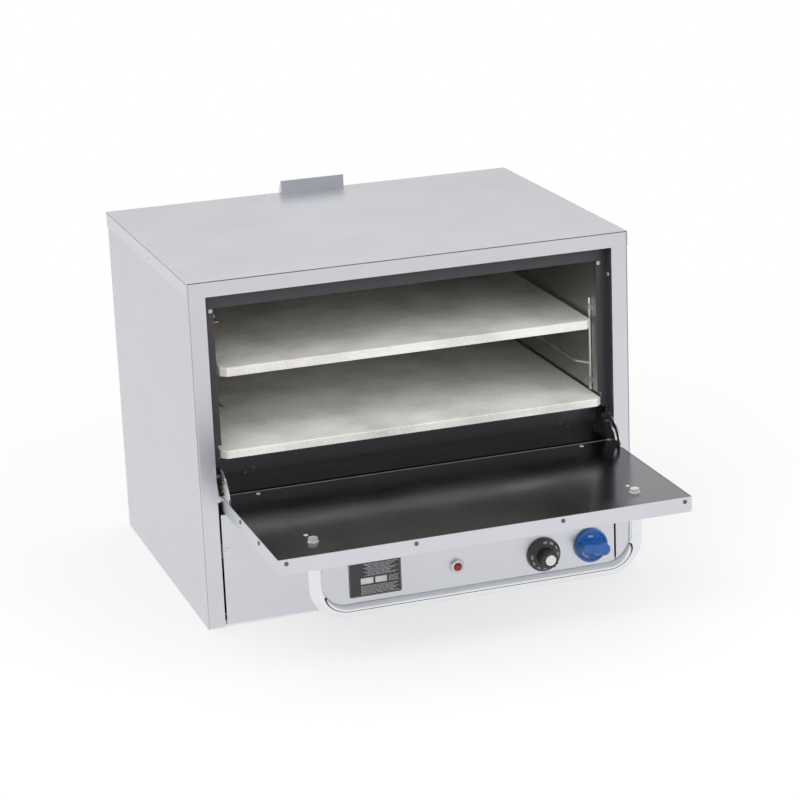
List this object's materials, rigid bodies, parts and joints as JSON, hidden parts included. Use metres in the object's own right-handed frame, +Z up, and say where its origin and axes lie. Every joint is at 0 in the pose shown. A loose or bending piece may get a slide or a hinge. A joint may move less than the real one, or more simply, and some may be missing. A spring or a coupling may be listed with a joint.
{
  "type": "gas pizza oven",
  "caption": "Countertop gas oven with stone hearths on side racks, a drop-down door with a bar handle, two dials, a reset button and a flue at the back.",
  "frame": {"origin": "middle of the cabinet's footprint, on the counter", "axes": "+X to the right seen from the front, +Y towards the back, +Z up"},
  "size_m": [0.876, 1.0568, 0.705],
  "materials": {
    "stainless": "satin brushed stainless steel",
    "polished_stainless": "polished stainless steel",
    "stay_steel": "plain sheet steel",
    "fastener_steel": "plated steel",
    "galvanised_steel": "galvanised sheet",
    "aluminised_steel": "aluminised sheet, slightly dulled by heat",
    "heat_tinted_steel": "mild steel, dulled by heat",
    "dark_jamb": "semi-gloss black",
    "hearth_stone": "matt refractory stone",
    "bright_wire": "bright plated wire",
    "handle_chrome": "polished tube",
    "black_iron_pipe": "black iron pipe",
    "cast_aluminium": "die cast",
    "pilot_brass": "plain brass",
    "tube_aluminium": "drawn tube",
    "copper_line": "copper, dulled",
    "insulation_blanket": "mineral fibre blanket",
    "plate_black": "black printed plate, left bare",
    "dial_black": "semi-gloss black",
    "dial_disc": "bright disc",
    "dial_blue": "gloss blue",
    "stem_steel": "turned steel",
    "bezel_chrome": "bright plated",
    "button_red": "gloss red"
  },
  "bodies": {
    "cabinet": {"back_panel": "stainless", "baffle_rivets": "fastener_steel", "base_pan": "galvanised_steel", "bulb_clips": "galvanised_steel", "burner_brackets": "heat_tinted_steel", "burners": "heat_tinted_steel", "button_bezel": "bezel_chrome", "cabinet_screws": "fastener_steel", "combustion_box": "aluminised_steel", "control_panel": "stainless", "door_jamb": "dark_jamb", "flame_baffle": "heat_tinted_steel", "flue_box": "galvanised_steel", "flue_deflector": "stainless", "front_baffle": "aluminised_steel", "front_frame": "stainless", "gas_inlet_pipe": "black_iron_pipe", "gas_manifold": "black_iron_pipe", "gas_nipples": "black_iron_pipe", "gas_valve": "cast_aluminium", "hinge_brackets": "stay_steel", "hinge_pins": "fastener_steel", "insulation_back": "insulation_blanket", "insulation_sides": "insulation_blanket", "insulation_top": "insulation_blanket", "leg_nuts": "galvanised_steel", "oven_liner": "aluminised_steel", "panel_screws": "fastener_steel", "panel_tabs": "galvanised_steel", "pilot_burner": "pilot_brass", "pilot_tube": "tube_aluminium", "rack_clips": "galvanised_steel", "rack_left": "bright_wire", "rack_right": "bright_wire", "rating_plate": "plate_black", "safety_valve": "cast_aluminium", "side_panel_left": "stainless", "side_panel_right": "stainless", "stop_studs": "fastener_steel", "thermocouple": "copper_line", "thermostat_body": "cast_aluminium", "thermostat_bulb": "copper_line", "top_cover": "stainless"},
    "door": {"door_shell": "stainless", "door_inner_panel": "polished_stainless", "door_insulation": "insulation_blanket", "door_stiffeners": "galvanised_steel", "door_handle": "handle_chrome", "handle_bolts": "fastener_steel", "door_screws": "fastener_steel", "stay_left": "stay_steel", "stay_right": "stay_steel"},
    "thermostat_dial": {"thermostat_knob": "dial_black", "thermostat_knob_cap": "dial_disc", "thermostat_stem": "stem_steel"},
    "gas_dial": {"gas_knob": "dial_blue", "gas_valve_stem": "stem_steel"},
    "reset_plunger": {"reset_button": "button_red"},
    "upper_deck": {"upper_hearth": "hearth_stone"},
    "lower_deck": {"lower_hearth": "hearth_stone"}
  },
  "joints": [
    {"name": "door_hinge", "type": "hinge", "parent": "cabinet", "child": "door", "pos_m": [0, -0.321, 0.2565], "axis": [-1, 0, 0], "range_deg": [0, 90]},
    {"name": "thermostat_turn", "type": "hinge", "parent": "cabinet", "child": "thermostat_dial", "pos_m": [0.247, -0.34, 0.046], "axis": [0, -1, 0], "range_deg": [0, 270]},
    {"name": "gas_turn", "type": "hinge", "parent": "cabinet", "child": "gas_dial", "pos_m": [0.347, -0.34, 0.05], "axis": [0, -1, 0], "range_deg": [0, 180]},
    {"name": "reset_press", "type": "slide", "parent": "cabinet", "child": "reset_plunger", "axis": [0, 1, 0], "range_m": [0, 0.004], "stiffness_N_per_m": 800},
    {"name": "upper_hearth_slide", "type": "slide", "parent": "cabinet", "child": "upper_deck", "axis": [0, 1, 0], "range_m": [-0.25, 0]},
    {"name": "lower_hearth_slide", "type": "slide", "parent": "cabinet", "child": "lower_deck", "axis": [0, 1, 0], "range_m": [-0.25, 0]}
  ]
}
